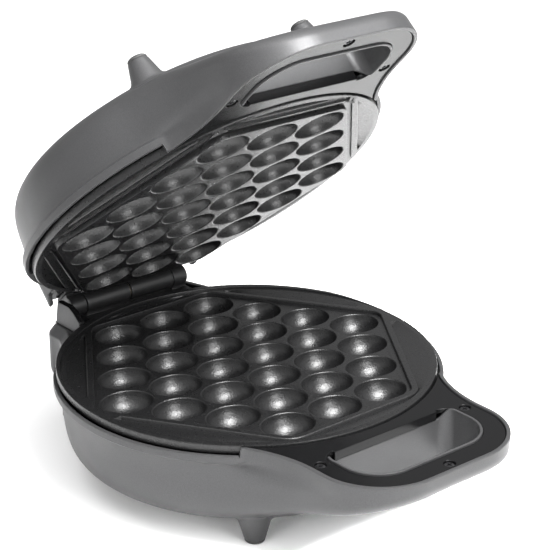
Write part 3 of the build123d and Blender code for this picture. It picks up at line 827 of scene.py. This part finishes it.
def seam_points(first, last):
    """Plan of the skin's open side: from the last column to the plate's centre, and on to the first."""
    steps = 20
    shares = [number / steps for number in range(1, steps + 1)]
    (fx, fy), (lx, ly) = first, last
    inwards = [(lx * (1 - share), ly + (plate_centre_y - ly) * share) for share in shares]
    outwards = [(fx * share, plate_centre_y + (fy - plate_centre_y) * share) for share in shares[:-1]]
    return inwards + outwards


def floor_points(edge, hole):
    """Points inside the floor, on a grid, and on rings where the pot's rounding shows."""
    step = 5.0
    found = [(i * step + 0.37, j * step + 0.21) for i in range(-24, 25) for j in range(-34, 12)]
    for inset in (4.8, 5.6, 6.4, 7.4, 8.6, 9.9, 11.3, 12.9, 14.8, 17.0, 19.5, 22.0, 26.0):
        found += [polar(lip_radius - inset, radians(degree)) for degree in range(230, 311, 2)]
    return [(x, y) for x, y in found if inside(edge, x, y) and not inside(hole, x, y)]


class Skin:
    """Outer skin of a shell's front: its round wall, the handle loop's flanks and the floor."""

    def __init__(self, half):
        self.half = half
        lip = half.lip
        wall = cut_corners([(band_foot[0], lip + band_foot[1])] + list(wall_flats))
        self.rows = [(inset, lip + drop) for inset, drop in band_profile] + wall
        self.insets = [0.0] + [inset for inset, _ in wall]
        self.depths = [lip] + [depth for _, depth in wall]
        self.handle = handle_outline()

    def floor(self, x, y):
        """Depth of the underside: the handle's slope, the pot's rounding and the flat floor."""
        x, y = np.asarray(x, float), np.asarray(y, float)
        slope = handle_front_depth + self.half.rim - base_rim_level + handle_slope * (y - handle_front_y)
        slope = smaller(slope, shell_depth, floor_blend)
        pot = np.interp(lip_radius - np.hypot(x, y - plate_centre_y), self.insets, self.depths)
        return np.minimum(larger(slope, pot, floor_blend), shell_depth)

    def angles(self):
        """Angles of the columns, doubled where the lip steps up to the handle's top."""
        step_up, step_down = 180 + step_angle, 360 - step_angle
        apart = 0.2
        left = np.linspace(180 - seam_angle, step_up - apart, 100)
        front = np.linspace(step_up + apart, step_down - apart, 150)
        right = np.linspace(step_down + apart, 360 + seam_angle, 100)
        return np.concatenate((left, front, right))

    def obliqueness(self, turn, reach, below):
        """Length along a ray for each millimetre square to the handle's flank, up to a limit."""
        nearby = 0.002
        most = 2.2
        ahead = ray_reach(self.handle, turn + nearby)
        behind = ray_reach(self.handle, turn - nearby)
        oblique = hypot(1.0, (ahead - behind) / (2 * nearby) / reach)
        return 1.0 + (min(oblique, most) - 1.0) * ease(below, step_angle, step_angle + 5)

    def flank(self, rim, floor, round_size):
        """Insets and depths down the handle's flank. From its round on, depths are from the floor."""
        top = rim + top_row
        wall_end = max(floor - round_size, rim + 1.5)
        rows = [(0.0, rim), (0.0, top)]
        for number in range(1, flank_rows + 1):
            depth = top + (wall_end - top) * number / flank_rows
            rows.append((handle_draft * (depth - top), depth))
        reached = rows[-1][0]
        for number in range(1, round_rows + 1):
            bend = pi / 2 * number / round_rows
            rows.append((reached + round_size * (1 - cos(bend)), round_size * (sin(bend) - 1)))
        reached += round_size
        rest = len(self.rows) - len(rows)
        last = max(handle_floor_inset, reached + 0.5)
        for number in range(1, rest + 1):
            rows.append((reached + (last - reached) * number / rest, 0.0))
        return rows

    def column(self, angle):
        """Points of one column, from the top edge to where the floor begins."""
        turn = radians(angle)
        below = min(angle - 180, 360 - angle)
        on_handle = below > step_angle
        into = ease(below, step_angle - 3, step_angle + 12)
        reach = ray_reach(self.handle, turn) if below > step_angle - 2 else 0.0
        outline = max(lip_radius, reach)
        oblique = self.obliqueness(turn, reach, below) if on_handle else 1.0
        rim = self.half.rim if on_handle else self.half.lip
        outer_floor = float(self.floor(*polar(outline, turn)))
        flank = self.flank(rim, outer_floor, handle_round + handle_root_round * (1 - into))
        count = len(self.rows)
        points = []
        for number, ((pot_inset, pot_depth), (inset, depth)) in enumerate(zip(self.rows, flank)):
            fade = into if number > 1 else float(on_handle)
            x, y = polar(outline - (pot_inset + (inset - pot_inset) * fade) * oblique, turn)
            floor = float(self.floor(x, y))
            if number > flank_rows + 1:
                depth += floor
            level = pot_depth + (depth - pot_depth) * fade
            level += (floor - level) * ease(number, count - 6, count - 1)
            points.append((x, y, level))
        return points

    def blend(self, columns, turn):
        """Evens out the crease where the round wall turns into the handle's flank."""
        table = np.array(columns)
        reach = np.hypot(table[..., 0], table[..., 1] - plate_centre_y)
        depth = table[..., 2]
        off = np.minimum(np.abs(turn - 180 - step_angle), np.abs(turn - 360 + step_angle))
        spread = blend_least + blend_spread * np.exp(-((off / blend_range) ** 2))
        weight = np.exp(-0.5 * ((turn[:, None] - turn[None, :]) / spread[:, None]) ** 2)
        weight *= np.gradient(turn)[None, :]
        weight /= weight.sum(1, keepdims=True)
        share = np.array([ease(row, blend_first_row, blend_full_row) for row in range(table.shape[1])])
        reach = reach + share * (weight @ reach - reach)
        depth = depth + share * (weight @ depth - depth)
        blended = []
        for angle, row_reach, row_depth in zip(turn, reach, depth):
            blended.append([(*polar(r, radians(angle)), d) for r, d in zip(row_reach, row_depth)])
        return blended

    def add_wall(self, points, faces, columns):
        count = len(columns[0])
        for column in columns:
            points += column
        for c in range(len(columns) - 1):
            for r in range(count - 1):
                a = c * count + r
                faces.append((a, a + 1, a + count + 1, a + count))

    def add_floor(self, points, faces, columns):
        """The floor, from the columns' feet and the seam to the edge of the finger slot."""
        edge = [column[-1][:2] for column in columns]
        ring = edge + seam_points(edge[0], edge[-1])
        hole = slot_outline(slot_round)
        flat = [Vector(p) for p in ring + hole + floor_points(ring, hole)]
        edges = loop_edges(0, len(ring)) + loop_edges(len(ring), len(hole))
        found, triangles, sources = triangulate(flat, edges)
        found = np.array([tuple(p) for p in found])
        depth = self.floor(found[:, 0], found[:, 1])
        for number, source in enumerate(sources):
            if source and source[0] < len(edge):
                depth[number] = columns[source[0]][-1][2]
        first = len(points)
        points += [(x, y, d) for (x, y), d in zip(found.tolist(), depth.tolist())]
        for face in triangles:
            x, y = found[list(face)].mean(0)
            if inside(ring, x, y) and not inside(hole, x, y):
                faces.append(tuple(first + n for n in face))

    def sleeve_top(self, x, y):
        """Where the slot's wall ends: at the rim, and deeper at the rear, under the cover's lip."""
        beyond_x = abs(x) - (slot_half_width - slot_rear_corner)
        beyond_y = y - (slot_rear_y - slot_rear_corner)
        turned = degrees(atan2(beyond_y, max(beyond_x, 0.001))) if beyond_y > 0 else 0.0
        return self.half.rim + slot_drop * ease(turned, *slot_drop_turn)

    def add_sleeve(self, points, faces):
        """Wall of the finger slot, from its edge underneath up to the cover."""
        floors = [float(self.floor(x, y)) for x, y in slot_outline(slot_round)]
        rings = []
        for grow, lift in ((slot_round, 0.0), (0.25, 0.22), (0.0, 0.8)):
            rings.append([(x, y, floor - lift) for (x, y), floor in zip(slot_outline(grow), floors)])
        start = rings[-1]
        for share in (0.2, 0.5, 0.8, 1.0):
            rings.append([(x, y, depth + (self.sleeve_top(x, y) - depth) * share) for x, y, depth in start])
        add_grid(points, faces, rings)

    def mesh_data(self):
        """Points and faces of the skin, and the number of the first point of the slot's wall."""
        points, faces = [], []
        angles = self.angles()
        columns = self.blend([self.column(angle) for angle in angles], angles)
        self.add_wall(points, faces, columns)
        self.add_floor(points, faces, columns)
        sleeve_first = len(points)
        self.add_sleeve(points, faces)
        return points, faces, sleeve_first


def add_leg(points, faces, tree, half, x, y):
    """A conical leg, with a small fillet where it meets the skin."""
    (root_depth, root_radius), (tip_depth, tip_radius) = leg_root, leg_tip

    def skin_depth(radius, ux, uy):
        """Depth of the skin beside the leg, by a ray from below."""
        start = half.place([(x + radius * ux, y + radius * uy, ray_depth)])[0]
        hit = tree.ray_cast(Vector(start), Vector(-half.axes[2]))
        return ray_depth - hit[3] / mm

    columns = []
    for number in range(leg_around):
        angle = 2 * pi * number / leg_around
        ux, uy = cos(angle), sin(angle)
        surface = skin_depth(root_radius - 1.0, ux, uy)
        rows = []
        for grow, lift in leg_fillet:
            depth = surface + lift
            share = (depth - root_depth) / (tip_depth - root_depth)
            cone = root_radius + (tip_radius - root_radius) * share
            if not rows:
                depth = skin_depth(cone + grow, ux, uy) - 0.05
            rows.append((cone + grow, depth))
        rows += [(tip_radius + 0.2, tip_depth - 0.9), (tip_radius, tip_depth)]
        columns.append([(x + radius * ux, y + radius * uy, depth) for radius, depth in rows])
    add_grid(points, faces, list(zip(*columns)))


def turn_outwards(half, shape):
    """Turns the skin's faces alike, and away from the plate."""
    bmesh.ops.recalc_face_normals(shape, faces=shape.faces)
    out = Vector(half.axes[2])
    if sum(face.calc_area() * face.normal.dot(out) for face in shape.faces) < 0:
        bmesh.ops.reverse_faces(shape, faces=shape.faces)


def round_edges(half, mesh, width, angle):
    """Rounds a mesh's edges, but for those in the two planes where the shell's front meets its rear."""
    centre = Vector(half.place([(0, plate_centre_y, 0)])[0])
    side, back = Vector(half.axes[0]), Vector(half.axes[1])
    turn = radians(seam_angle)
    near = 0.02

    def in_seam(vertex):
        x = abs((vertex.co - centre).dot(side)) / mm
        y = (vertex.co - centre).dot(back) / mm
        return abs(cos(turn) * y - sin(turn) * x) < near

    shape = bmesh.new()
    shape.from_mesh(mesh)
    chosen = []
    for edge in shape.edges:
        if len(edge.link_faces) != 2 or edge.calc_face_angle(0) < radians(angle):
            continue
        if not (in_seam(edge.verts[0]) and in_seam(edge.verts[1])):
            chosen.append(edge)
    bmesh.ops.bevel(
        shape, geom=chosen, offset=width * mm, segments=2, profile=0.5, affect="EDGES", clamp_overlap=False
    )
    shape.to_mesh(mesh)
    shape.free()


def solid_skin(half):
    """Mesh of the skin, made as thick as the shell's wall, with its two front legs."""
    points, faces, sleeve_first = Skin(half).mesh_data()
    tree = BVHTree.FromPolygons(half.place(points).tolist(), faces)
    leg_first = len(points)
    for x, y in leg_places:
        if y < 0:
            add_leg(points, faces, tree, half, x, y)
    mesh = bpy.data.meshes.new("skin")
    mesh.from_pydata(half.place(points).tolist(), [], faces)
    body = add_object("skin", mesh)
    thick = body.vertex_groups.new(name="thick")
    thick.add(list(range(len(points))), 1.0, "REPLACE")
    thick.add(list(range(sleeve_first, leg_first)), slot_wall_share, "REPLACE")
    shape = bmesh.new()
    shape.from_mesh(mesh)
    join_points(shape, own_joining)
    turn_outwards(half, shape)
    shape.to_mesh(mesh)
    shape.free()
    solid = body.modifiers.new("wall", "SOLIDIFY")
    solid.thickness = shell_wall * mm
    solid.offset = -1
    solid.use_even_offset = True
    solid.vertex_group = "thick"
    graph = bpy.context.evaluated_depsgraph_get()
    result = bpy.data.meshes.new_from_object(body.evaluated_get(graph))
    bpy.data.objects.remove(body)
    round_edges(half, result, width=0.5, angle=55)
    return result


def node_shape(name):
    """A CAD part's mesh with its points joined, to be changed and freed."""
    shape = bmesh.new()
    shape.from_mesh(nodes[name].data)
    join_points(shape, cad_joining)
    return shape


def rear_of_shell(half):
    """The CAD shell's rear, cut off along two planes through the plate's middle."""
    shape = node_shape(f"{half.name}_shell")
    centre = Vector(half.place([(0, plate_centre_y, 0)])[0])
    turn = radians(seam_angle)
    for side in (1, -1):
        normal = Vector(-side * sin(turn) * half.axes[0] + cos(turn) * half.axes[1])
        geometry = shape.verts[:] + shape.edges[:] + shape.faces[:]
        bmesh.ops.bisect_plane(
            shape, geom=geometry, dist=0.0000005, plane_co=centre, plane_no=normal, clear_inner=True
        )
        cut = [edge for edge in shape.edges if edge.is_boundary]
        bmesh.ops.holes_fill(shape, edges=cut, sides=0)
    join_flats(shape)
    mesh = bpy.data.meshes.new("rear")
    shape.to_mesh(mesh)
    shape.free()
    round_edges(half, mesh, width=0.8, angle=30)
    return mesh


def paint_hollow_shade(half, mesh):
    """Paints shade into the hollow around the hinge, in the black of the covers."""
    origin = Vector(half.origin * mm)
    side, back, out = (Vector(axis) for axis in half.axes)
    for face in mesh.polygons:
        x, y, depth = ((face.center - origin).dot(axis) / mm for axis in (side, back, out))
        if y < hollow_front_y or abs(x) > hollow_half:
            continue
        sideways = face.normal.dot(side) * (1 if x > 0 else -1)
        if half.raised:
            black = depth < lid_hollow_depth and face.normal.dot(out) < 0.5
        else:
            black = depth < base_hollow_depth and sideways < 0.8 and face.normal.dot(back) < 0.8
        if black:
            # Painted shade: the hollow's faces take the covers' black plastic
            face.material_index = 1


def make_shell(half):
    """The scene's own front and the CAD shell's rear in one piece, with painted shade in the hollow around
    the hinge.
    """
    shape = bmesh.new()
    for mesh in (solid_skin(half), rear_of_shell(half)):
        shape.from_mesh(mesh)
        bpy.data.meshes.remove(mesh)
    name = f"{half.name}_body"
    piece = add_object(name, smooth_mesh(name, shape, shell_sharp, paint, plastic))
    # Painted shade: the hollow around the hinge takes the covers' black plastic, the mesh's second material
    paint_hollow_shade(half, piece.data)
    even_normals(piece, keep_sharp=True)
    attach(piece, half.name)
    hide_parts(f"{half.name}_shell")


def soften_node(name, piece_name, body, width, material):
    """A CAD part with its flats joined up and its edges rounded, in place of its node."""
    sharp = 35
    shape = node_shape(name)
    join_flats(shape)
    piece = add_object(piece_name, smooth_mesh(piece_name, shape, sharp, material))
    soft = piece.modifiers.new("soft_edges", "BEVEL")
    soft.width = width * mm
    soft.segments = 2
    soft.limit_method = "ANGLE"
    soft.angle_limit = radians(sharp)
    soft.use_clamp_overlap = False
    even_normals(piece, keep_sharp=False)
    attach(piece, body)
    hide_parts(name)


# Screws with cross recesses

def cross_outline():
    """Outline of the recess, three corners for each arm."""
    cross = []
    for quarter in range(4):
        turn = pi / 2 * quarter
        for x, y in ((cross_half, -cross_reach), (cross_half, -cross_half), (cross_reach, -cross_half)):
            cross.append((cos(turn) * x - sin(turn) * y, sin(turn) * x + cos(turn) * y))
    return cross


def add_screw(points, faces, x, y, top):
    """A screw whose head has a cross recess. Its shank runs into the shell."""
    rings = [at_depth(circle(r, screw_around, x, y), top + drop) for r, drop in screw_profile]
    add_grid(points, faces, rings, close_last=True, flip=True)
    cross = cross_outline()
    face_edge = circle(screw_face, screw_around, 0.0, 0.0)
    edges = loop_edges(0, len(face_edge)) + loop_edges(len(face_edge), len(cross))
    found, triangles, _ = triangulate([Vector(p) for p in face_edge + cross], edges)
    first = len(points)
    points += [(x + p[0], y + p[1], top) for p in found]
    for face in triangles:
        mx, my = sum((found[n] for n in face), Vector((0, 0))) / 3
        if not inside(cross, mx, my):
            faces.append(tuple(first + n for n in reversed(face)))
    rings = []
    for share, drop in ((1.0, 0.0), (cross_taper, cross_depth)):
        rings.append([(x + px * share, y + py * share, top + drop) for px, py in cross])
    add_grid(points, faces, rings, close_last=True)


def make_cover_screws(half):
    points, faces = [], []
    for x, y in cover_screws:
        add_screw(points, faces, x, y, half.rim + cover_sink + screw_sink)
    name, replaced = f"{half.name}_cross_screws", (f"{half.name}_handle_screws",)
    make_piece(name, half, points, faces, dark_steel, replaced, screw_sharp)


# CAD part, piece in its place, slot, width of the rounded edges, and material
soft_parts = (
    ("handle_cover", "grip_cover", "cover", 0.4, plastic),
    ("hinge_bracket", "hinge_plate", "bracket", 0.6, bracket_paint),
    ("rubber_feet", "foot_pads", "rubber", 0.3, rubber),
)

for half in (base, lid):
    make_shell(half)
    make_cover_screws(half)
    for part, piece, slot, width, material in soft_parts:
        soften_node(f"{half.name}_{part}", f"{half.name}_{piece}", half.name, width, material)


# Camera, as fitted to the photograph

camera_place = Vector((-0.5494, -0.6803, 0.4655))
camera_azimuth = -39.241
camera_elevation = 21.936
camera_roll = -0.381
camera_lens = 119.35
camera_sensor = 36


def make_camera():
    camera = add_object("camera", bpy.data.cameras.new("camera"))
    camera.data.lens = camera_lens
    camera.data.sensor_width = camera_sensor
    camera.data.clip_start = 0.05
    camera.data.clip_end = 50
    azimuth, elevation, roll = map(radians, (camera_azimuth, camera_elevation, camera_roll))
    back = Vector((sin(azimuth) * cos(elevation), -cos(azimuth) * cos(elevation), sin(elevation)))
    right = Vector((cos(azimuth), sin(azimuth), 0))
    up = back.cross(right)
    level = Matrix((right, up, back)).transposed().to_4x4()
    camera.matrix_world = Matrix.Translation(camera_place) @ level @ Matrix.Rotation(roll, 4, "Z")
    bpy.context.scene.camera = camera


make_camera()


# Studio

# Where each lamp is, where it aims, its width in metres and its power
lamps = {
    "key": ((0.06, -0.34, 0.74), (0, 0, 0.08), 0.36, 20),
    "left": ((-1.5, -0.35, 0.55), (0, 0, 0.15), 0.8, 14),
    "front": ((0.0, -0.95, 0.5), (0, 0, 0.15), 0.45, 8),
    "top": ((-0.1, -0.5, 2.4), (-0.1, -0.5, 0), 3.0, 65),
}
lamps_without_highlight = ("left",)
floor_reach = 12.0

# The world dims towards the rear, between two reaches that way, from one strength to another
towards_rear = (0.63, 0.78, 0.0)
world_fade = (-0.1, 0.8, 1.0, 0.4)


def add_lamp(name, place, aim, size, power):
    light = bpy.data.lights.new(name, "AREA")
    light.size = size
    light.energy = power
    lamp = add_object(name, light)
    lamp.location = place
    lamp.rotation_mode = "QUATERNION"
    lamp.rotation_quaternion = (Vector(place) - Vector(aim)).to_track_quat("Z", "Y")
    lamp.visible_glossy = name not in lamps_without_highlight


def make_world():
    world = bpy.data.worlds.new("studio")
    bpy.context.scene.world = world
    world.use_nodes = True
    tree = world.node_tree
    background = tree.nodes["Background"]
    background.inputs["Color"].default_value = (1, 1, 1, 1)
    where = tree.nodes.new("ShaderNodeTexCoord")
    behind = tree.nodes.new("ShaderNodeVectorMath")
    behind.operation = "DOT_PRODUCT"
    behind.inputs[1].default_value = towards_rear
    fade = map_range(tree, *world_fade)
    tree.links.new(where.outputs["Generated"], behind.inputs[0])
    tree.links.new(behind.outputs["Value"], fade.inputs["Value"])
    tree.links.new(fade.outputs["Result"], background.inputs["Strength"])


def make_floor():
    corners = [(sx * floor_reach, sy * floor_reach, 0) for sx, sy in ((-1, -1), (1, -1), (1, 1), (-1, 1))]
    mesh = bpy.data.meshes.new("floor")
    mesh.from_pydata(corners, [], [(0, 1, 2, 3)])
    mesh.materials.append(new_material("pale_floor", (0.95, 0.95, 0.95), rough=0.6))
    return add_object("floor", mesh)


make_world()
bpy.context.scene.view_settings.view_transform = "Standard"
for name, (place, aim, size, power) in lamps.items():
    add_lamp(name, place, aim, size, power)
floor = make_floor()
